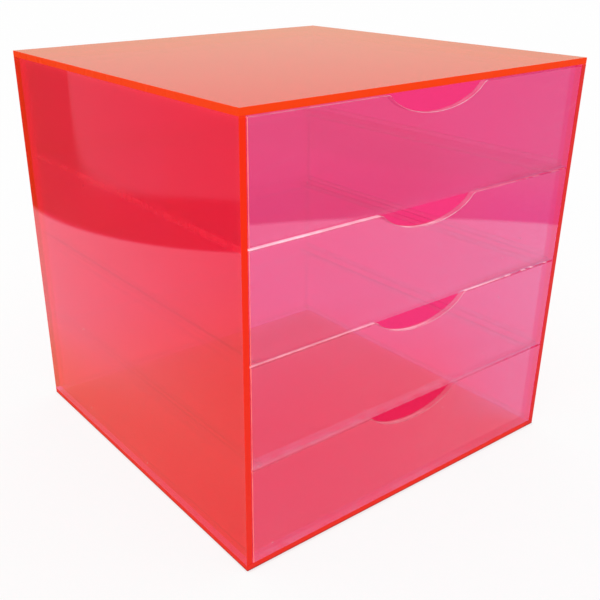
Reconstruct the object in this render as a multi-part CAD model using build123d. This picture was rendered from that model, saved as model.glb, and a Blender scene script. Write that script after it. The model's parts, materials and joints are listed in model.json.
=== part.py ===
"""Cube-shaped desk organizer: a coloured acrylic case with four clear acrylic drawers.

Millimetres, +Z up. The origin is the middle of the footprint, on the surface that the case stands on,
and the drawers open towards -Y. Every panel is a flat sheet with its faces cemented to its neighbours.
"""

import os

from build123d import *

# Case
case_width = 200.0
case_depth = 199.0
case_height = 200.0
case_sheet = 3.0

# Drawers, which are all alike and numbered from the top
drawer_count = 4
front_sheet = 3.0
box_sheet = 3.0
front_side_gap = 0.4
front_top_gap = 0.5
box_side_gap = 0.6
box_rear_gap = 0.5
box_top_gap = 1.0

# Finger cut-out in the top edge of a drawer front, a segment of an ellipse
cutout_half_length = 30.0
cutout_half_height = 14.6
cutout_depth = 9.4

# Runners, the strips on the case's sides that carry every drawer but the lowest
runner_width = 8.0
runner_thickness = 3.0
runner_front_gap = 0.5

# Sizes that follow
opening_width = case_width - 2 * case_sheet
opening_height = case_height - 2 * case_sheet
case_front_y = -case_depth / 2
case_back_inner_y = case_depth / 2 - case_sheet
drawer_pitch = opening_height / drawer_count
front_width = opening_width - 2 * front_side_gap
front_height = drawer_pitch - front_top_gap
box_width = opening_width - 2 * box_side_gap
box_front_y = case_front_y + front_sheet
box_back_y = case_back_inner_y - box_rear_gap
wall_height = drawer_pitch - runner_thickness - box_top_gap - box_sheet
side_signs = {"left": -1, "right": 1}


def sheet_between(low_x, high_x, low_y, high_y, low_z, high_z):
    """A flat rectangular sheet, given by its two end places along each axis."""
    sheet = Box(high_x - low_x, high_y - low_y, high_z - low_z, align=(Align.MIN, Align.MIN, Align.MIN))
    return Pos(low_x, low_y, low_z) * sheet


def sheet_on_side(sign, inner_x, outer_x, low_y, high_y, low_z, high_z):
    """A sheet on the left (sign -1) or right (sign 1), given by its distances from the middle plane."""
    low_x, high_x = sorted((sign * inner_x, sign * outer_x))
    return sheet_between(low_x, high_x, low_y, high_y, low_z, high_z)


def drawer_bottom_z(number):
    """Height of the underside of a drawer, where drawer 1 is the top one."""
    return case_sheet + (drawer_count - number) * drawer_pitch


def case_panels():
    """Top and bottom cover the sides, which run the full depth, and the back sits inside all four."""
    half_width = case_width / 2
    half_depth = case_depth / 2
    half_opening = opening_width / 2
    under_top_z = case_height - case_sheet
    panels = {
        "case_top": sheet_between(-half_width, half_width, -half_depth, half_depth, under_top_z, case_height),
        "case_bottom": sheet_between(-half_width, half_width, -half_depth, half_depth, 0, case_sheet),
        "case_back": sheet_between(
            -half_opening, half_opening, case_back_inner_y, half_depth, case_sheet, under_top_z
        ),
    }
    for side, sign in side_signs.items():
        panels[f"case_{side}_side"] = sheet_on_side(
            sign, half_opening, half_width, -half_depth, half_depth, case_sheet, under_top_z
        )
    return panels


def runners(number):
    """The pair of strips that drawer `number` slides on. They start behind the drawer fronts."""
    top_z = drawer_bottom_z(number)
    half_opening = opening_width / 2
    return {
        f"runner_{number}_{side}": sheet_on_side(
            sign,
            half_opening - runner_width,
            half_opening,
            box_front_y + runner_front_gap,
            case_back_inner_y,
            top_z - runner_thickness,
            top_z,
        )
        for side, sign in side_signs.items()
    }


def drawer_front(bottom_z):
    """Front sheet with the finger cut-out in the middle of its top edge."""
    top_z = bottom_z + front_height
    plate = sheet_between(-front_width / 2, front_width / 2, case_front_y, box_front_y, bottom_z, top_z)
    cutout_centre_z = top_z - cutout_depth + cutout_half_height
    cutter = extrude(Plane.XZ * Ellipse(cutout_half_length, cutout_half_height), front_sheet, both=True)
    return plate - Pos(0, (case_front_y + box_front_y) / 2, cutout_centre_z) * cutter


def drawer_panels(number):
    """Front, floor, two sides and back of one drawer. The walls stand on the floor, behind the front."""
    bottom_z = drawer_bottom_z(number)
    floor_z = bottom_z + box_sheet
    wall_top_z = floor_z + wall_height
    half_box = box_width / 2
    half_inside = half_box - box_sheet
    back_front_y = box_back_y - box_sheet
    panels = {
        "front": drawer_front(bottom_z),
        "floor": sheet_between(-half_box, half_box, box_front_y, box_back_y, bottom_z, floor_z),
        "back": sheet_between(-half_inside, half_inside, back_front_y, box_back_y, floor_z, wall_top_z),
    }
    for side, sign in side_signs.items():
        panels[f"{side}_side"] = sheet_on_side(
            sign, half_inside, half_box, box_front_y, box_back_y, floor_z, wall_top_z
        )
    return {f"drawer_{number}_{panel}": solid for panel, solid in panels.items()}


def organizer():
    """Every panel of the organizer by name, with the drawers closed."""
    nodes = case_panels()
    for number in range(1, drawer_count):
        nodes.update(runners(number))
    for number in range(1, drawer_count + 1):
        nodes.update(drawer_panels(number))
    return nodes


os.makedirs("parts", exist_ok=True)
for node_name, node_solid in organizer().items():
    export_step(node_solid, f"parts/{node_name}.step")
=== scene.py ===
import json
import math

import bmesh
import bpy
from mathutils import Matrix, Vector


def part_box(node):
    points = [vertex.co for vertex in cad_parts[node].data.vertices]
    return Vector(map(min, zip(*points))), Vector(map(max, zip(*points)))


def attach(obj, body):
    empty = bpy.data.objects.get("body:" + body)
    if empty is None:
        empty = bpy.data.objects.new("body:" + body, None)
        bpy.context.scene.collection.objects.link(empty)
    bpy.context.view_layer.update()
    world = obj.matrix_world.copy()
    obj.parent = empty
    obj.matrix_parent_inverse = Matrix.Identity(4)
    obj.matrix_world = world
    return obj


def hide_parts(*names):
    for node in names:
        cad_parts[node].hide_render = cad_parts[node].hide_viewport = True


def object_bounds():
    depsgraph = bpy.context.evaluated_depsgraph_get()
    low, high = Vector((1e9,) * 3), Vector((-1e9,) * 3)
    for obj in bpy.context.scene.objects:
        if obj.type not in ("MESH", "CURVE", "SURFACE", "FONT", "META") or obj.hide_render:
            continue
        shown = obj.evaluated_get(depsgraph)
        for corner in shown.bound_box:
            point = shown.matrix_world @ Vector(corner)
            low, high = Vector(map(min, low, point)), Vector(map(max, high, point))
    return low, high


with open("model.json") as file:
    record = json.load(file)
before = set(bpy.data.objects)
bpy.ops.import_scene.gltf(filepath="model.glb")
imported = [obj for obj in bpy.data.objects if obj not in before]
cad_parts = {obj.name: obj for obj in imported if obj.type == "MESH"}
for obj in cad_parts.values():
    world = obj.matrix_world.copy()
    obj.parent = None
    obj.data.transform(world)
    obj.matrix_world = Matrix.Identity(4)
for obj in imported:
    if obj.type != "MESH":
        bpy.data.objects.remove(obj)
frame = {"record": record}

cad_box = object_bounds()
HALF_WIDTH = (cad_box[1][0] - cad_box[0][0]) / 2
HALF_DEPTH = (cad_box[1][1] - cad_box[0][1]) / 2

# Lengths and places are in metres. A pair of values gives where something starts and where it is full,
# or what it is at none and at all of a share.

# Sheets
HAIR_GAP = 0.00002          # kept between the faces of sheets that are cemented or rest on each other
ARRIS = 0.00025             # rounding along the polished edges of a sheet
ARRIS_STEPS = 2
SHARP_ANGLE = math.radians(30)
RIM = 0.003                 # band along a sheet's border where the painted glow of the edge still shows
SOFT_RIM = 0.009            # where that glow has faded out
SOFT_RIM_SHARE = 0.35       # glow left at the inner side of the band
LOOKS_UP = 0.5              # upward part of a face's direction from which it counts as a top edge
LOOKS_DOWN = -0.1           # and the downward part from which an arris belongs to the foot

# Finger cut-out in a drawer front: a segment of an ellipse, sunk below the top edge
CUTOUT_HALF_LENGTH = 0.030
CUTOUT_HALF_HEIGHT = 0.0146
CUTOUT_DEPTH = 0.0094
CUTOUT_STEPS = 160
CUTOUT_CORNER_DROP = 0.001  # how far below the top edge the rounding of the cut-out's corners starts
CORNER_STEPS = 6

# Detail of the noise patterns
FINE = 2.0
SMOOTH = 0.0

# Wear on the polished faces
SMUDGE_SCALE = 28.0
SMUDGED = (0.45, 0.8)
SCRATCH_TURN = (0.6, 0.9, 0.6)
SCRATCH_SIZE = (0.05, 0.0005, 0.05)
SCRATCHED = (0.74, 0.82)
DUST_SCALE = 83.0
DUST_SPECK = (0.05, 0.02)
DUST_PATCH = (0.52, 0.56)
WAVE_SCALE = 9.0            # slow waves of cast sheet
WAVE_BUMP = 0.03
WAVE_DEPTH = 0.002
POLISH = (0.004, 0.034)     # roughness of a clean face and of a smudge

# Mirroring of polished faces
PLAIN_MIRROR = 0.04         # share that plain acrylic mirrors head on
GRAZING_POWER = 5.0
CASE_MIRROR = 1.0           # strengths against plain acrylic, here on the case
FRONT_MIRROR = 2.45         # on the face of a drawer front on the side looked at
REAR_MIRROR = 1.8           # and on its far face
BOX_MIRROR = 0.2            # on sheets inside the case, whose mirror is lost in the even pink around them

# Fluorescent sheet of the case
FACE_GLOW_SHARE = 0.07            # shares of a face with a painted glow: all over, by the rim, and at smudges and scratches
RIM_GLOW_SHARE = 0.08
SMUDGE_HAZE = 0.01
SCRATCH_HAZE = 0.03
DUST_SHARE = 0.4
FACE_ROUGHNESS = 0.3
FACE_EMISSION = 0.7
FACING_RIGHT = (0.5, 0.9)
EDGE_GLOW_ON_FACE = 0.85     # painted glow of the right panel's upright edges, laid on its outer face
EDGE_SEEN_THROUGH = 0.95    # share of a clear edge that is seen through from within
GLOW_SCALE = 60.0
GLOW_STREAK = (0.35, 0.7)
GLOW_UNEVEN = (0.9, 1.0)
GLOW_ROUGHNESS = (0.22, 0.34)
GLOW_SPECULAR = 0.03
GLOW_EMISSION = 0.06
SIDE_RISE = (0.0, 0.17)     # height over which a side's edge brightens, as painted light
RIGHT_SIDE = (0.090, 0.097)
TOP_SHEET = (0.196, 0.1975)
FOOT_LINE = (0.0003, 0.0009)
BUBBLE_SCALE = 420.0
BUBBLE = (0.16, 0.08)
BUBBLE_SHARE = 0.12
BUBBLE_ROUGHNESS = 0.3

# Faces of the drawer fronts
FRONT_SMUDGE = 0.004        # shares of a face that look milky
FRONT_SCRATCH = 0.015
FRONT_DUST = 0.3
MILK_ROUGHNESS = 0.4

# Edges of the clear sheet
FLAME_SCALE = 140.0         # streaks that flame polishing leaves
FLAME_STREAK = (0.3, 0.7)
FLAME_ROUGHNESS = (0.12, 0.22)
FRONT_UNEVEN = (0.6, 1.0)   # painted light on an edge between and in the streaks
BOX_UNEVEN = (0.5, 1.5)
JOINT_UNEVEN = (0.6, 1.4)
RUNNER_UNEVEN = (0.5, 1.0)
BOX_EDGE_SHARE = 0.04       # shares of an edge that shine with painted light
END_SHARE = 0.5
RUNNER_SHARE = 0.45
FAINT_GLOW = 0.15           # emission of the shining share
TOP_GLOW = 0.55
END_GLOW = 0.9
RUNNER_GLOW = 0.3
LINE_RISE = (0.11, 0.14)    # height over which the thin lines inside the case get fainter
RUNNER_RISE = (0.10, 0.146)
JOINT_LEFT = (0.06, 0.0)
JOINT_FALL = (0.11, 0.05)
END_FACES = (-0.1, -0.3)    # sideways direction of the rounded arris, between the face and the end
END_STOPS = (-0.99, -0.95)

# Painted light on the top edges of the fronts, in a band by height plus a share of the place to the right
LIGHT_SLOPE = 0.3
LIGHT_RISES = (0.084, 0.104)
LIGHT_FALLS = (0.150, 0.130)
LIGHT_ON_RIGHT = (1.0, 0.1)
CROWN_STARTS = (-0.0990, -0.0986)
CROWN_ENDS = (-0.0974, -0.0978)
LINE_SLOPE = 0.1            # the same on the crown of the edge, whose painted light reaches lower down too
LINE_RISES = (0.068, 0.086)
LINE_ON_RIGHT = (1.0, 1.9)
RIGHT_HALF = (0.0, 0.03)
UPPER_DRAWERS = (0.11, 0.15)
# painted shade on the top drawer's edge under the case top, on the right
UNDER_TOP = (0.17, 0.18)
UNDER_TOP_LIGHT = (1.0, 0.15)
FACING_UP = (0.2, 0.5)
FACING_FORWARD = (0.35, 0.2)
# breaks in the painted highlight near the right end of a front
DASH_SCALE = 210.0
DASHED = (0.48, 0.56)
DASHED_END = (0.045, 0.070)

# Painted light in the cut-outs, with a painted glint a little left of their middle
CUTOUT_SPAN = (0.0300, 0.0285)
ABOVE_LOWEST = (0.06, 0.085)
LOWEST_CUTOUT = (0.6, 1.0)
LOWEST_GLINT = (0.35, 1.0)
GLINT_LEFT = 0.008
GLINT_WIDTH = (0.020, 0.008)
GLINT_TOP = (0.165, 0.150)

# Camera, at the photograph's viewpoint
CAMERA_PLACE = (-0.2626, -0.3299, 0.2524)
CAMERA_AZIMUTH = math.radians(-36.94)
CAMERA_ELEVATION = math.radians(24.87)
CAMERA_ROLL = math.radians(-0.34)
CAMERA_LENS = 49.64
CAMERA_SHIFT = (0.0578, 0.032)
CAMERA_NEAREST = 0.01

# Colours, as linear red, green and blue
CASE_TINT = (0.954, 0.232, 0.503)       # let through by one face of a case sheet, so twice in a sheet
CASE_GLOW = (0.90, 0.035, 0.03)         # painted glow standing in for the fluorescence in the face of a case sheet
EDGE_ORANGE = (0.93, 0.052, 0.006)      # edge of the top
EDGE_RED = (0.92, 0.028, 0.006)         # front edge of a side, high up
EDGE_LOW = (0.84, 0.034, 0.022)         # the same near the table, darker as painted shade
EDGE_SHADE = (0.74, 0.032, 0.026)       # edges on the right, further from the light
EDGE_FOOT = (0.40, 0.015, 0.012)        # lowest line of the case, in its own shade
CEMENT_CLEAR = (0.985, 0.95, 0.965)
DUST_WHITE = (0.9, 0.78, 0.78)
CLEAR_TINT = (0.992, 0.988, 0.990)
# pale milk of wear on the fronts, and the colour of painted highlights on clear edges
CLEAR_EDGE = (1.0, 0.88, 0.91)
TOP_PINK = (1.0, 0.75, 0.79)            # painted highlight on the top edge of a drawer front and the wall of its cut-out
TOP_TINT = (0.92, 0.86, 0.90)           # through the top edge of a drawer front
FRONT_LINE = (0.80, 0.73, 0.76)         # through the arris of a drawer front
END_TINT = (0.94, 0.70, 0.68)           # through the narrow ends of a drawer front
END_LINE = (1.0, 0.28, 0.22)            # painted reflection of the glowing case edge, along its left end
BOX_EDGE_TINT = (0.98, 0.97, 0.975)     # through the edge of a drawer's wall or floor
LINE_LOW = (0.79, 0.69, 0.72)           # through the arris of a sheet inside the case, low down
LINE_HIGH = (0.93, 0.88, 0.90)          # and at the top drawer
SATIN_EDGE = (0.96, 0.66, 0.74)         # sawn long edge of a runner, and the colour of its faint painted glow
RUNNER_CREAM = (1.0, 0.84, 0.50)        # painted pale sheen on the cemented side of a runner
JOINT_VIOLET = (0.92, 0.36, 0.66)       # painted violet sheen on the cemented foot of a drawer front, on the left
JOINT_SHADE = (0.95, 0.88, 0.86)        # painted shade there on the right
JOINT_LOW = (0.97, 0.92, 0.92)          # the same on the two lower drawers
FOOT_VIOLET = (0.88, 0.48, 0.76)        # painted reflection of the joint in the foot of the front
FOOT_SHADE = (0.84, 0.76, 0.79)          # painted shade through the foot, on the right
FOOT_LOW = (0.94, 0.86, 0.89)           # the same on the two lower drawers
PURE_WHITE = (1.0, 1.0, 1.0)

AXES = "xyz"
FACE, EDGE, ARRIS_LINE, JOINED, FOOT, END = range(6)    # finishes of a sheet, in the order of its slots


class Wire:
    """One output of a shader node. Sums, products and powers of wires and numbers become Math nodes."""

    def __init__(self, tree, output=None):
        self.tree = tree
        self.output = output

    def node(self, kind, settings=None, inputs=None, output=0):
        """Adds a node, with its settings first and then the values or wires of its inputs."""
        made = self.tree.nodes.new("ShaderNode" + kind)
        for name, value in (settings or {}).items():
            setattr(made, name, value)
        for name, value in (inputs or {}).items():
            if isinstance(value, Wire):
                self.tree.links.new(value.output, made.inputs[name])
            else:
                made.inputs[name].default_value = value
        return Wire(self.tree, made.outputs[output])

    def math(self, operation, first, second):
        return self.node("Math", {"operation": operation}, {0: first, 1: second})

    def __add__(self, other):
        return self.math("ADD", self, other)

    def __radd__(self, other):
        return self.math("ADD", other, self)

    def __sub__(self, other):
        return self.math("SUBTRACT", self, other)

    def __rsub__(self, other):
        return self.math("SUBTRACT", other, self)

    def __mul__(self, other):
        return self.math("MULTIPLY", self, other)

    def __rmul__(self, other):
        return self.math("MULTIPLY", other, self)

    def __pow__(self, other):
        return self.math("POWER", self, other)

    def __abs__(self):
        return self.node("Math", {"operation": "ABSOLUTE"}, {0: self})

    def ramp(self, low, high):
        """0 below low, 1 above high and smooth between. With low over high it falls instead."""
        return self.node(
            "MapRange",
            {"interpolation_type": "SMOOTHSTEP"},
            {"Value": self, "From Min": low, "From Max": high},
        )

    def span(self, none, all_of_it):
        """A number between two others, for a wire between 0 and 1."""
        return none + (all_of_it - none) * self

    def along(self, axis):
        """One coordinate of a vector."""
        return self.node("SeparateXYZ", inputs={"Vector": self}, output=axis)

    def noise(self, scale, detail):
        """Cloudy noise at the places that the wire gives."""
        return self.node("TexNoise", inputs={"Vector": self, "Scale": scale, "Detail": detail})

    def cells(self, scale):
        """Distance to the nearest of many scattered points."""
        return self.node("TexVoronoi", inputs={"Vector": self, "Scale": scale}, output="Distance")


def new_material(name):
    """An empty material and the first wire of its tree."""
    material = bpy.data.materials.new(name)
    material.use_nodes = True
    material.node_tree.nodes.clear()
    return material, Wire(material.node_tree)


def show(wire):
    """Sends a shader to the material's or world's output."""
    kind = "ShaderNodeOutputWorld" if wire.output.node.type == "BACKGROUND" else "ShaderNodeOutputMaterial"
    out = wire.tree.nodes.new(kind)
    wire.tree.links.new(wire.output, out.inputs["Surface"])


def rgba(colour):
    """A colour as a socket takes it. A wire stays as it is."""
    return colour if isinstance(colour, Wire) else (*colour, 1.0)


def blend(tree, share, first, second):
    """A colour between two others."""
    return tree.node("Mix", {"data_type": "RGBA"}, {0: share, 6: rgba(first), 7: rgba(second)}, output=2)


def mixed(tree, share, first, second):
    """A shader between two others."""
    return tree.node("MixShader", inputs={0: share, 1: first, 2: second})


def clear(tree, tint):
    """A see-through shader that tints what is behind it."""
    return tree.node("BsdfTransparent", inputs={"Color": rgba(tint)})


def surface_place(tree):
    """The place on a piece."""
    return tree.node("TexCoord", output="Object")


def surface_facing(tree):
    """The direction that the surface faces."""
    return tree.node("TexCoord", output="Normal")


def from_within(tree):
    """1 where a face is looked at from within its sheet, else 0."""
    return tree.node("NewGeometry", output="Backfacing")


# Finishes of the acrylic


def mirror_share(tree, strength):
    """How much a polished face mirrors, from a little head on to all of it at a grazing look."""
    facing = tree.node("LayerWeight", output="Facing")
    return (facing ** GRAZING_POWER).span(PLAIN_MIRROR, 1.0) * strength


def sheet_wear(tree):
    """Finger smudges, hairline scratches and dust specks on polished acrylic, each from 0 to 1."""
    place = surface_place(tree)
    cloud = place.noise(SMUDGE_SCALE, FINE)
    stretched = tree.node(
        "Mapping",
        {"vector_type": "TEXTURE"},
        {"Vector": place, "Rotation": SCRATCH_TURN, "Scale": SCRATCH_SIZE},
    )
    scratches = stretched.noise(1.0, SMOOTH).ramp(*SCRATCHED)
    dust = place.cells(DUST_SCALE).ramp(*DUST_SPECK) * cloud.ramp(*DUST_PATCH)
    return cloud.ramp(*SMUDGED), scratches, dust


def wavy_polish(tree, smudge):
    """The mirror on an outer face, a little wavy as cast sheet is and duller where it was touched."""
    wave = surface_place(tree).noise(WAVE_SCALE, SMOOTH)
    bump = tree.node("Bump", inputs={"Strength": WAVE_BUMP, "Distance": WAVE_DEPTH, "Height": wave})
    return tree.node(
        "BsdfGlossy", inputs={"Color": rgba(PURE_WHITE), "Roughness": smudge.span(*POLISH), "Normal": bump}
    )


def case_face(name, edges_show):
    """See-through fluorescent sheet: it tints what is behind it, with a painted glow, more at its border.

    Where edges_show, a painted glow of its upright edges lies on its outer face beside them.
    """
    material, tree = new_material(name)
    smudge, scratches, dust = sheet_wear(tree)
    rim = tree.node("Attribute", {"attribute_name": "rim"}, output="Fac")
    glow = tree.node(
        "BsdfPrincipled",
        inputs={
            "Base Color": rgba(CASE_GLOW),
            "Roughness": FACE_ROUGHNESS,
            "Emission Color": rgba(CASE_GLOW),
            "Emission Strength": FACE_EMISSION,
        },
    )
    # share of the face that gets the painted glow
    haze = FACE_GLOW_SHARE + RIM_GLOW_SHARE * rim * rim + SMUDGE_HAZE * smudge + SCRATCH_HAZE * scratches
    body = mixed(tree, haze, clear(tree, CASE_TINT), glow)
    if edges_show:
        body = mixed(tree, edge_glow_on_face(tree), body, edge_glow(tree))
    specks = tree.node("BsdfDiffuse", inputs={"Color": rgba(DUST_WHITE)})
    dusty = mixed(tree, DUST_SHARE * dust, body, specks)
    show(mixed(tree, mirror_share(tree, CASE_MIRROR), dusty, wavy_polish(tree, smudge)))
    return material


def edge_glow_on_face(tree):
    """Share of the upright edges' painted glow laid on the outer face of the right panel, beside them."""
    aside = abs(surface_place(tree).along("Y"))
    at_edge = aside.ramp(HALF_DEPTH - RIM, HALF_DEPTH - RIM / 2)
    outer = surface_facing(tree).along("X").ramp(*FACING_RIGHT)
    return EDGE_GLOW_ON_FACE * at_edge * outer * (1.0 - from_within(tree))


def edge_glow(tree):
    """Painted glow of the sheet's edge by its place, with painted shade low down and on the right."""
    place = surface_place(tree)
    height = place.along("Z")
    streak = place.noise(GLOW_SCALE, FINE).ramp(*GLOW_STREAK)
    # painted light: a side's edge brighter higher up; painted shade on the right and along the foot
    side = blend(tree, height.ramp(*SIDE_RISE) * streak.span(*GLOW_UNEVEN), EDGE_LOW, EDGE_RED)
    shaded = blend(tree, place.along("X").ramp(*RIGHT_SIDE), side, EDGE_SHADE)
    upper = blend(tree, height.ramp(*TOP_SHEET), shaded, EDGE_ORANGE)
    colour = blend(tree, height.ramp(*FOOT_LINE), EDGE_FOOT, upper)
    return tree.node(
        "BsdfPrincipled",
        inputs={
            "Base Color": colour,
            "Roughness": streak.span(*GLOW_ROUGHNESS),
            "Specular IOR Level": GLOW_SPECULAR,
            "Emission Color": colour,
            "Emission Strength": GLOW_EMISSION,
        },
    )


def case_edge(name, seen_through):
    """Cut and polished edge of the fluorescent sheet. From within it glows too or is seen through."""
    material, tree = new_material(name)
    glow = edge_glow(tree)
    if seen_through:
        glow = mixed(tree, EDGE_SEEN_THROUGH * from_within(tree), glow, clear(tree, CASE_TINT))
    show(glow)
    return material


def case_joint():
    """Solvent-cemented joint in the case, clear through but for a few bubbles."""
    material, tree = new_material("case_acrylic_joint")
    bubbles = BUBBLE_SHARE * surface_place(tree).cells(BUBBLE_SCALE).ramp(*BUBBLE)
    white = tree.node(
        "BsdfPrincipled", inputs={"Base Color": rgba(DUST_WHITE), "Roughness": BUBBLE_ROUGHNESS}
    )
    show(mixed(tree, bubbles, clear(tree, CEMENT_CLEAR), white))
    return material


def front_face():
    """Clear sheet of the drawer fronts, which mirrors on both faces and is marked a little by use."""
    material, tree = new_material("clear_acrylic_front")
    smudge, scratches, dust = sheet_wear(tree)
    milk = tree.node("BsdfPrincipled", inputs={"Base Color": rgba(CLEAR_EDGE), "Roughness": MILK_ROUGHNESS})
    haze = FRONT_SMUDGE * smudge + FRONT_SCRATCH * scratches + FRONT_DUST * dust
    body = mixed(tree, haze, clear(tree, CLEAR_TINT), milk)
    share = mirror_share(tree, from_within(tree).span(FRONT_MIRROR, REAR_MIRROR))
    show(mixed(tree, share, body, wavy_polish(tree, smudge)))
    return material


def box_face():
    """Clear sheet inside the case."""
    material, tree = new_material("clear_acrylic_box")
    mirror = tree.node("BsdfGlossy", inputs={"Roughness": 0.0})
    show(mixed(tree, mirror_share(tree, BOX_MIRROR), clear(tree, CLEAR_TINT), mirror))
    return material


def flame_streaks(place):
    """Uneven gloss along a flame-polished edge, from 0 to 1."""
    return place.noise(FLAME_SCALE, FINE).ramp(*FLAME_STREAK)


def pale_edge(tree, share, streak, colour, glow, tint=CLEAR_TINT):
    """A clear edge, of which a share shines in a pale colour as a painted highlight."""
    bright = tree.node(
        "BsdfPrincipled",
        inputs={
            "Base Color": rgba(colour),
            "Roughness": streak.span(*FLAME_ROUGHNESS),
            "Emission Color": rgba(colour),
            "Emission Strength": glow,
        },
    )
    return mixed(tree, share, clear(tree, tint), bright)


def plain_edge(name, colour, tint):
    """Edge of the clear sheet inside the case, with a little painted highlight, which tints what is behind
    it.
    """
    material, tree = new_material(name)
    streak = flame_streaks(surface_place(tree))
    show(pale_edge(tree, BOX_EDGE_SHARE * streak.span(*BOX_UNEVEN), streak, colour, FAINT_GLOW, tint))
    return material


def slanting_band(across, height, slope, rises):
    """1 in the band of painted light on the edges of the fronts, 0 above and below it."""
    slant = height + slope * across
    return slant.ramp(*rises) * slant.ramp(*LIGHT_FALLS)


def straight_light(across, height, crown, least, low_least, lit, shine):
    """Painted light on the straight parts of a front's top edge.

    It is least high up and low_least low down, and the slanting band adds lit to it, and shine on the crown.
    """
    right = across.ramp(*RIGHT_HALF)
    wide = slanting_band(across, height, LIGHT_SLOPE, LIGHT_RISES) * right.span(*LIGHT_ON_RIGHT)
    line = slanting_band(across, height, LINE_SLOPE, LINE_RISES) * right.span(*LINE_ON_RIGHT) * crown
    faint = height.ramp(*UPPER_DRAWERS).span(low_least, least)
    # painted shade on the top drawer's edge under the case top, on the right
    under_top = height.ramp(*UNDER_TOP) * right
    return faint * under_top.span(*UNDER_TOP_LIGHT) + lit * wide + shine * line


def cutout_light(across, height, crown, cutout, gloss):
    """Painted light on the wall of a cut-out, with a painted glint on its crown, and less of both on the
    lowest drawer.
    """
    above_lowest = height.ramp(*ABOVE_LOWEST)
    off_glint = abs(across + GLINT_LEFT)
    level = above_lowest.span(*LOWEST_GLINT) * height.ramp(*GLINT_TOP)
    glint = level * off_glint.ramp(*GLINT_WIDTH) * crown
    return cutout * above_lowest.span(*LOWEST_CUTOUT) + gloss * glint


def front_edge(name, colour, tint, least, low_least, cutout, lit=0.0, shine=0.0, gloss=0.0):
    """Flame-polished top edge of a drawer front, with painted light that breaks into dashes near its right
    end.
    """
    material, tree = new_material(name)
    place = surface_place(tree)
    across = place.along("X")
    along = place.along("Y")
    height = place.along("Z")
    crown = along.ramp(*CROWN_STARTS) * along.ramp(*CROWN_ENDS)
    in_cutout = abs(across).ramp(*CUTOUT_SPAN)
    highlight_dashes = place.noise(DASH_SCALE, SMOOTH).ramp(*DASHED)
    unbroken = 1.0 - across.ramp(*DASHED_END) * (1.0 - highlight_dashes)
    straight = straight_light(across, height, crown, least, low_least, lit, shine) * unbroken
    light = straight * (1.0 - in_cutout) + cutout_light(across, height, crown, cutout, gloss) * in_cutout
    facing = surface_facing(tree)
    seen = facing.along("Z").ramp(*FACING_UP) * facing.along("Y").ramp(*FACING_FORWARD)
    streak = flame_streaks(place)
    share = light * streak.span(*FRONT_UNEVEN) * seen * (1.0 - from_within(tree))
    show(pale_edge(tree, share, streak, colour, TOP_GLOW, tint))
    return material


def thin_line():
    """Arris of a sheet inside the case: a thin line that darkens what is behind it, less so high up."""
    material, tree = new_material("clear_acrylic_thin_line")
    high = surface_place(tree).along("Z").ramp(*LINE_RISE)
    show(mixed(tree, high, clear(tree, LINE_LOW), clear(tree, LINE_HIGH)))
    return material


def front_end():
    """Narrow end of a drawer front. Its left arris has a painted reflection of the glow of the case edge
    beside it.
    """
    material, tree = new_material("clear_acrylic_front_end")
    sideways = surface_facing(tree).along("X")
    arris = sideways.ramp(*END_FACES) * sideways.ramp(*END_STOPS) * (1.0 - from_within(tree))
    streak = flame_streaks(surface_place(tree))
    share = END_SHARE * arris * streak.span(*FRONT_UNEVEN)
    show(pale_edge(tree, share, streak, END_LINE, END_GLOW, END_TINT))
    return material


def joint_band(name, colour, shade_tint, low_tint, least, low_more):
    """Cemented joint of a drawer's floor and front.

    It is a painted violet sheen on the left, faint high up, and painted shade on the right, fainter low
    down. A share least of it shines, and low_more on top of that where it is violet and low down.
    """
    material, tree = new_material(name)
    place = surface_place(tree)
    low = place.along("Z").ramp(*JOINT_FALL)
    streak = flame_streaks(place)
    uneven = streak.span(*JOINT_UNEVEN)
    violet = pale_edge(tree, (least + low_more * low) * uneven, streak, colour, FAINT_GLOW)
    right_shade = pale_edge(tree, least * uneven, streak, colour, FAINT_GLOW, shade_tint)
    fainter = pale_edge(tree, least * uneven, streak, colour, FAINT_GLOW, low_tint)
    right = mixed(tree, low, right_shade, fainter)
    show(mixed(tree, place.along("X").ramp(*JOINT_LEFT), right, violet))
    return material


def runner_joint():
    """Cemented side of a runner, with a painted pale sheen that shows through the case as a strip where it
    is high up.
    """
    material, tree = new_material("clear_acrylic_runner_joint")
    place = surface_place(tree)
    streak = flame_streaks(place)
    share = RUNNER_SHARE * place.along("Z").ramp(*RUNNER_RISE) * streak.span(*RUNNER_UNEVEN)
    show(pale_edge(tree, share, streak, RUNNER_CREAM, RUNNER_GLOW))
    return material


# Sheets


def rectangular_sheet(mesh, low, high):
    """A flat sheet that fills the box between two corners."""
    made = bmesh.ops.create_cube(mesh, size=1.0)
    place = Matrix.Translation((low + high) / 2) @ Matrix.Diagonal((high - low).to_4d())
    bmesh.ops.transform(mesh, matrix=place, verts=made["verts"])


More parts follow.
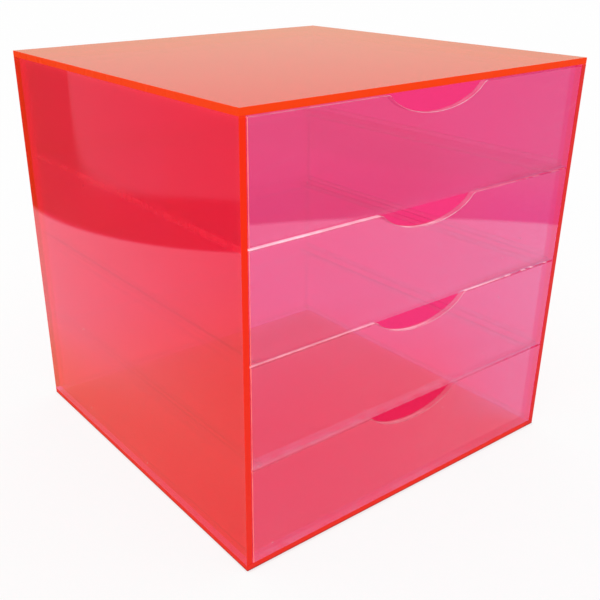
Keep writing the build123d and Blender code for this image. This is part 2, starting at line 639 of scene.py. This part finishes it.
def notched_front(mesh, low, high):
    """A drawer front: an outline with the lower arc of an ellipse in its top edge, drawn out to a sheet."""
    made = bmesh.ops.create_circle(mesh, segments=CUTOUT_STEPS, radius=1.0)
    centre = Vector(((low.x + high.x) / 2, low.y, high.z - CUTOUT_DEPTH + CUTOUT_HALF_HEIGHT))
    place = Matrix.Translation(centre) @ Matrix.Rotation(math.pi / 2, 4, "X")
    place = place @ Matrix.Diagonal((CUTOUT_HALF_LENGTH, CUTOUT_HALF_HEIGHT, 1.0, 1.0))
    bmesh.ops.transform(mesh, matrix=place, verts=made["verts"])
    everything = mesh.verts[:] + mesh.edges[:]
    below_top = high.z - CUTOUT_CORNER_DROP
    bmesh.ops.bisect_plane(
        mesh, geom=everything, plane_co=(0, 0, below_top), plane_no=(0, 0, 1), clear_outer=True
    )
    ends = sorted((v for v in mesh.verts if len(v.link_edges) == 1), key=lambda v: v.co.x)
    left_end, right_end = (rounded_corner(mesh, end, centre, high.z) for end in ends)
    corners = [(low.x, high.z), (low.x, low.z), (high.x, low.z), (high.x, high.z)]
    chain = [left_end, *(mesh.verts.new((x, low.y, z)) for x, z in corners), right_end]
    for first, second in zip(chain, chain[1:]):
        mesh.edges.new((first, second))
    face = bmesh.ops.contextual_create(mesh, geom=mesh.edges[:])["faces"][0]
    drawn = bmesh.ops.extrude_face_region(mesh, geom=[face])["geom"]
    rear = [v for v in drawn if isinstance(v, bmesh.types.BMVert)]
    bmesh.ops.translate(mesh, verts=rear, vec=(0, high.y - low.y, 0))
    bmesh.ops.recalc_face_normals(mesh, faces=mesh.faces[:])


def rounded_corner(mesh, end, centre, top):
    """Carries an end of the cut-out's arc up to the top edge, turning smoothly. Returns the last point."""
    away = end.co - centre
    lean = (CUTOUT_HALF_HEIGHT / CUTOUT_HALF_LENGTH) ** 2 * away.x / away.z
    slope = math.atan(abs(lean))
    radius = (top - end.co.z) / (1 - math.cos(slope))
    side = math.copysign(1.0, away.x)
    pivot = Vector((end.co.x + side * radius * math.sin(slope), end.co.y, top - radius))
    made = bmesh.ops.spin(
        mesh, geom=[end], cent=pivot, axis=(0, 1, 0), angle=side * slope, steps=CORNER_STEPS
    )
    return next(item for item in made["geom_last"] if isinstance(item, bmesh.types.BMVert))


def direction(face, thin):
    """The axis and sign that an edge face looks along, such as +x, or main for the two large faces.

    The slanting wall of a cut-out counts as looking up.
    """
    axis = 2 if face.normal.z > LOOKS_UP else max(range(3), key=lambda i: abs(face.normal[i]))
    if axis == thin:
        return "main"
    return ("+" if face.normal[axis] > 0 else "-") + AXES[axis]


def on_the_outside(point):
    """True for a point on an outer corner line of the case, or anywhere on its front."""
    sides = sum(
        abs(point[axis] - corner[axis]) < 2 * HAIR_GAP for axis in range(3) for corner in cad_box
    )
    return sides >= 2 or abs(point.y - cad_box[0][1]) < 2 * HAIR_GAP


def shown_arris(edge, covered):
    """True for a sharp edge along a shown end. A covered sheet shows only those on the case's outside."""
    shown = any(face.material_index in (EDGE, FOOT, END) for face in edge.link_faces)
    middle = (edge.verts[0].co + edge.verts[1].co) / 2
    return shown and edge.calc_face_angle(0) > SHARP_ANGLE and (not covered or on_the_outside(middle))


def polished(mesh, thin, ends, covered):
    """Gives each end of a sheet its finish, and rounds the arrises along the shown ends."""
    for face in mesh.faces:
        face.material_index = ends.get(direction(face, thin), FACE)
    sharp = [edge for edge in mesh.edges if shown_arris(edge, covered)]
    if not sharp:
        return
    made = bmesh.ops.bevel(
        mesh,
        geom=sharp,
        offset=ARRIS,
        offset_type="OFFSET",
        segments=ARRIS_STEPS,
        profile=0.5,
        affect="EDGES",
        material=-1,
    )
    footed = FOOT in ends.values()
    end_x = max(abs(vert.co.x) for vert in mesh.verts) - 2 * ARRIS
    for face in made["faces"]:
        face.material_index = ARRIS_LINE
        if footed and face.normal.z < LOOKS_DOWN:
            face.material_index = FOOT
        elif footed and abs(face.calc_center_median().x) > end_x:
            face.material_index = END


def seated(mesh, thin, low, high, seats):
    """Marks the bands on the inner face of a case panel that other panels are cemented to."""
    middle = (Vector(cad_box[0]) + Vector(cad_box[1])) / 2
    for face in mesh.faces:
        centre = face.calc_center_median()
        if direction(face, thin) == "main" and face.normal.dot(middle - centre) > 0:
            for sign, axis_name in seats:
                axis = AXES.index(axis_name)
                inward = high[axis] - centre[axis] if sign == "+" else centre[axis] - low[axis]
                if inward < RIM:
                    face.material_index = JOINED


def ringed(mesh):
    """Adds two rings of edges inside the border of the two large faces, for the glow that fades there."""
    large = sorted(mesh.faces, key=lambda face: face.calc_area())[-2:]
    for band in (RIM, SOFT_RIM - RIM):
        bmesh.ops.inset_individual(mesh, faces=large, thickness=band, use_even_offset=True)


def rimmed(mesh, low, high, thin):
    """Marks how near each point is to the border of its sheet, from 1 there to 0 at the inner ring."""
    rim = mesh.verts.layers.float.new("rim")
    across = [axis for axis in range(3) if axis != thin]
    for vert in mesh.verts:
        inward = min(min(vert.co[axis] - low[axis], high[axis] - vert.co[axis]) for axis in across)
        vert[rim] = 1.0 if inward < RIM / 2 else SOFT_RIM_SHARE if inward < (RIM + SOFT_RIM) / 2 else 0.0


def make_sheet(node, body, slot, finish, ends, shape=rectangular_sheet, seats=()):
    """Builds the sheet that stands for a CAD node, in its place, and lets it ride with its body."""
    low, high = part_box(node)
    gap = Vector((HAIR_GAP,) * 3)
    thin = min(range(3), key=lambda i: (high - low)[i])
    coloured = slot == "case_acrylic"
    mesh = bmesh.new()
    shape(mesh, low + gap, high - gap)
    if coloured:
        ringed(mesh)
    polished(mesh, thin, ends, covered=coloured)
    if coloured:
        seated(mesh, thin, low, high, seats)
        rimmed(mesh, low, high, thin)
    piece = placed(mesh, node + "_sheet", finish)
    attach(piece, body)
    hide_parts(node)


def placed(mesh, name, finish):
    """Makes a finished mesh an object of the scene."""
    data = bpy.data.meshes.new(name)
    mesh.to_mesh(data)
    mesh.free()
    for material in finish:
        data.materials.append(material)
    piece = bpy.data.objects.new(name, data)
    bpy.context.scene.collection.objects.link(piece)
    return piece


# The case and its drawers

ALL_ROUND = dict.fromkeys(("-x", "+x", "-y", "+y"), EDGE)
SIDE_PANEL = {"-y": EDGE, "+y": EDGE, "-z": JOINED, "+z": JOINED}
BACK_PANEL = dict.fromkeys(("+x", "-z", "+z"), JOINED)
# Each case panel with its ends, the borders where clear cement holds other panels to its inner face, and
# whether its edges are seen through from within
CASE_PANELS = {
    "case_top": (ALL_ROUND, (), False),
    "case_bottom": (ALL_ROUND, ("-x", "+x", "+y"), True),
    "case_left_side": (SIDE_PANEL, (), False),
    "case_right_side": (SIDE_PANEL, ("+y",), True),
    "case_back": (BACK_PANEL, (), True),
}
FRONT_ENDS = {"-x": END, "+x": END, "+z": EDGE, "-z": FOOT}
FLOOR_ENDS = {"-x": EDGE, "+x": EDGE, "-y": JOINED}
WALL_ENDS = {"+z": EDGE}
RUNNER_ENDS = {
    "left": {"-y": EDGE, "+x": EDGE, "-x": JOINED},
    "right": {"-y": EDGE, "-x": EDGE},
}


def build_case():
    plain_face = case_face("case_acrylic_face", False)
    right_face = case_face("case_acrylic_right_face", True)
    joint = case_joint()
    glowing_edge = case_edge("case_acrylic_edge", False)
    clear_edge = case_edge("case_acrylic_clear_edge", True)
    for node, (ends, seats, seen_through) in CASE_PANELS.items():
        face = right_face if node == "case_right_side" else plain_face
        edge = clear_edge if seen_through else glowing_edge
        make_sheet(node, "case", "case_acrylic", (face, edge, edge, joint), ends, seats=seats)


def top_edge_finish():
    """Top edge of the drawer fronts, with painted light on it and on its crown."""
    return front_edge(
        "clear_acrylic_front_edge",
        TOP_PINK,
        TOP_TINT,
        least=0.12,
        low_least=0.08,
        cutout=0.13,
        lit=0.74,
        shine=0.42,
        gloss=0.5,
    )


def top_arris_finish():
    """Rounded arris along the top edge of the drawer fronts, with painted light on it."""
    return front_edge(
        "clear_acrylic_front_arris", CLEAR_EDGE, FRONT_LINE, least=0.20, low_least=0.10, cutout=0.36
    )


def build_drawers_and_runners():
    line = thin_line()
    box = box_face()
    box_edge = plain_edge("clear_acrylic_box_edge", CLEAR_EDGE, BOX_EDGE_TINT)
    satin = plain_edge("clear_acrylic_runner_edge", SATIN_EDGE, CLEAR_TINT)
    joint = joint_band(
        "clear_acrylic_joint", JOINT_VIOLET, JOINT_SHADE, JOINT_LOW, least=0.02, low_more=0.10
    )
    foot = joint_band(
        "clear_acrylic_front_foot", FOOT_VIOLET, FOOT_SHADE, FOOT_LOW, least=0.08, low_more=0.10
    )
    front_finish = (front_face(), top_edge_finish(), top_arris_finish(), joint, foot, front_end())
    floor_finish = (box, box_edge, line, joint)
    wall_finish = (box, box_edge, box_edge)
    runner_finish = (box, satin, line, runner_joint())
    for body, nodes in frame["record"]["behaviour"]["bodies"].items():
        for node in nodes:
            if node.startswith("runner"):
                ends = RUNNER_ENDS[node.rsplit("_", 1)[1]]
                make_sheet(node, body, "clear_acrylic", runner_finish, ends)
            elif node.endswith("front"):
                make_sheet(node, body, "clear_acrylic", front_finish, FRONT_ENDS, notched_front)
            elif node.endswith("floor"):
                make_sheet(node, body, "clear_acrylic", floor_finish, FLOOR_ENDS)
            elif node.startswith("drawer"):
                make_sheet(node, body, "clear_acrylic", wall_finish, WALL_ENDS)


# Stage

FLOOR_SIZE = 24.0
FLOOR_WHITE = (0.95, 0.95, 0.95)
FLOOR_LIFT = 0.85                       # share of the floor's look that the object's shadow leaves alone
UNDER_LIFT = 0.3                        # the same under the case
UNDER_BLUR = 0.001
MIRROR_LIFT = 0.4                       # part of it that is left in the panels' mirror image

# Painted reflection: what the panels mirror of the floor, which the camera sees plain white. Turned is the
# place to the right plus the place to the rear
PAPER_MIDDLE = (-0.0095, 0.009, 0.0)    # of the round white paper
PAPER_REACH = 0.527
PAPER_BLUR = 0.006
PAPER_LEFT = (0.93, 0.95, 1.0)
PAPER_CORNER = (0.95, 0.95, 0.62)       # warmer near the front corner of the left panel
PAPER_GLOW = (0.95, 0.76, 0.50)         # painted glow of the left panel on the paper
PAPER_NEAR = (1.0, 0.48, 0.53)          # painted light that comes through the case
PAPER_NEAR_RIGHT = (0.74, 0.58, 0.77)
PAPER_FRONT = (0.88, 0.66, 0.90)
PAPER_RIGHT = (0.70, 0.71, 1.0)
PAPER_TURN = (-0.22, 0.02)              # turned places from the front of the paper to its right
NEAR_TURN = (-0.08, -0.01)
NEAR_RIGHT_STARTS = (0.145, 0.172)      # distances from the paper's middle
NEAR_FADES = (0.18, 0.36)
CORNER_FADES = (0.0, 0.22)              # places to the rear
GLOW_FADES = (-0.105, -0.150)           # places to the right
FRONT_STARTS = (-0.099, -0.101)
LEFT_ENDS = (-0.15, -0.08)
CARD_MIDDLE = (-0.532, 0.44, 0.0)       # of a dark round card at the edge of the paper, painted only into the reflection
CARD_REACH = 0.292
CARD_BLUR = 0.004
ROOM_NEAR = (0.27, 0.18, 0.26)
ROOM_FRONT = (0.43, 0.26, 0.35)
ROOM_FRONT_REACH = 0.9
ROOM_NEAR_RIGHT = (0.40, 0.19, 0.45)
ROOM_RIGHT = (0.45, 0.30, 0.48)
ROOM_RIGHT_REACH = 0.75
ROOM_TURN = (-0.10, 0.06)
ROOM_LEFT = (0.42, 0.40, 0.34)
ROOM_DARK = (0.13, 0.15, 0.03)
ROOM_LEFT_STARTS = (0.0, -0.2)
ROOM_EDGE = 0.075                       # slanting line that the lighter part of the room starts at
ROOM_SLANT = 0.45
ROOM_CORNER = 0.004                     # how widely the corner of that part is rounded
REAR_STARTS = (-0.1, 0.0)
RIGHT_STARTS = (-0.1, 0.1)
WALL_WARM = (0.82, 0.63, 0.455)
WALL_TOP = (0.5, 0.25)                  # upward part of the direction at which the wall ends


def larger(first, second):
    """The larger of a wire and a number or another wire."""
    return first.math("MAXIMUM", first, second)


def distance(place, point):
    """How far a place is from a point."""
    return place.node("VectorMath", {"operation": "DISTANCE"}, {0: place, 1: point}, output="Value")


def mirrored_room(tree, across, along, reach):
    """Painted reflection of the room beyond the paper, darker near it, and dark on the left but for a
    lighter part.
    """
    ahead = blend(tree, reach.ramp(PAPER_REACH, ROOM_FRONT_REACH), ROOM_NEAR, ROOM_FRONT)
    right = blend(tree, reach.ramp(PAPER_REACH, ROOM_RIGHT_REACH), ROOM_NEAR_RIGHT, ROOM_RIGHT)
    front = blend(tree, (across + along).ramp(*ROOM_TURN), ahead, right)
    past_slant = larger(-1.0 * (across + ROOM_SLANT * along) - ROOM_EDGE, 0.0)
    past_paper = larger(reach - PAPER_REACH, 0.0)
    light = (past_slant * past_paper).ramp(0.0, ROOM_CORNER)
    side = blend(tree, light, ROOM_DARK, ROOM_LEFT)
    return blend(tree, across.ramp(*ROOM_LEFT_STARTS), front, side)


def mirrored_paper(tree, across, along, reach):
    """Painted reflection of the paper, with the painted light that the case casts on it in front and on the
    left.
    """
    turned = across + along
    far = blend(tree, turned.ramp(*PAPER_TURN), PAPER_FRONT, PAPER_RIGHT)
    near_right = turned.ramp(*NEAR_TURN) * reach.ramp(*NEAR_RIGHT_STARTS)
    near = blend(tree, near_right, PAPER_NEAR, PAPER_NEAR_RIGHT)
    front = blend(tree, reach.ramp(*NEAR_FADES), near, far)
    plain = blend(tree, along.ramp(*CORNER_FADES), PAPER_CORNER, PAPER_LEFT)
    left = blend(tree, across.ramp(*GLOW_FADES), PAPER_GLOW, plain)
    return blend(tree, along.ramp(*FRONT_STARTS) * across.ramp(*LEFT_ENDS), left, front)


def mirrored_floor(tree, place):
    """Painted reflection: what the panels mirror of the floor.

    White paper lies round the object, with a dark card and the room beyond. On the right and in the rear
    it is plain floor.
    """
    across = place.along("X")
    along = place.along("Y")
    reach = distance(place, PAPER_MIDDLE)
    past_paper = reach.ramp(PAPER_REACH - PAPER_BLUR, PAPER_REACH + PAPER_BLUR)
    on_card = distance(place, CARD_MIDDLE).ramp(CARD_REACH + CARD_BLUR, CARD_REACH - CARD_BLUR)
    paper = mirrored_paper(tree, across, along, reach)
    room = mirrored_room(tree, across, along, reach)
    surroundings = blend(tree, larger(past_paper, on_card), paper, room)
    right_and_rear = along.ramp(*REAR_STARTS) * across.ramp(*RIGHT_STARTS)
    return blend(tree, right_and_rear, surroundings, FLOOR_WHITE)


def under_case(place):
    """1 on the part of the floor that the case stands on, taken as a square."""
    beside, before = (
        abs(place.along(axis)).ramp(HALF_WIDTH + UNDER_BLUR, HALF_WIDTH - UNDER_BLUR) for axis in "XY"
    )
    return beside * before


def build_floor():
    """White floor, which the panels mirror as a painted reflection of white paper with a darker room beyond.
    """
    material, tree = new_material("floor_paper")
    place = surface_place(tree)
    mirrored = tree.node("LightPath", output="Is Glossy Ray")
    image = mirrored_floor(tree, place)
    shaded = tree.node("BsdfDiffuse", inputs={"Color": blend(tree, mirrored, FLOOR_WHITE, image)})
    even = tree.node("Emission", inputs={"Color": blend(tree, mirrored, PURE_WHITE, image)})
    seen = tree.node("LightPath", output="Is Camera Ray") + MIRROR_LIFT * mirrored
    lift = under_case(place).span(FLOOR_LIFT, UNDER_LIFT)
    show(mixed(tree, seen * lift, shaded, even))
    mesh = bmesh.new()
    bmesh.ops.create_grid(mesh, x_segments=1, y_segments=1, size=FLOOR_SIZE / 2)
    placed(mesh, "floor", (material,))


def build_world():
    """Even white light all round. The panels mirror a painted warm wall low down and white above."""
    world = bpy.data.worlds.new("studio")
    world.use_nodes = True
    world.node_tree.nodes.clear()
    tree = Wire(world.node_tree)
    height = tree.node("TexCoord", output="Generated").along("Z")
    wall = height.ramp(*WALL_TOP) * tree.node("LightPath", output="Is Glossy Ray")
    colour = blend(tree, wall, PURE_WHITE, WALL_WARM)
    show(tree.node("Background", inputs={"Color": colour, "Strength": 1.0}))
    bpy.context.scene.world = world


def build_camera():
    data = bpy.data.cameras.new("camera")
    data.lens = CAMERA_LENS
    data.shift_x, data.shift_y = CAMERA_SHIFT
    data.clip_start = CAMERA_NEAREST
    camera = bpy.data.objects.new("camera", data)
    bpy.context.scene.collection.objects.link(camera)
    turn = Matrix.Rotation(CAMERA_AZIMUTH, 4, "Z") @ Matrix.Rotation(math.pi / 2 - CAMERA_ELEVATION, 4, "X")
    camera.matrix_world = Matrix.Translation(CAMERA_PLACE) @ turn @ Matrix.Rotation(CAMERA_ROLL, 4, "Z")
    bpy.context.scene.camera = camera


def build_studio():
    build_floor()
    build_world()
    build_camera()
    scene = bpy.context.scene
    scene.view_settings.view_transform = "Standard"
    scene.cycles.max_bounces = 24
    scene.cycles.glossy_bounces = 8
    scene.cycles.transparent_max_bounces = 128


build_case()
build_drawers_and_runners()
build_studio()
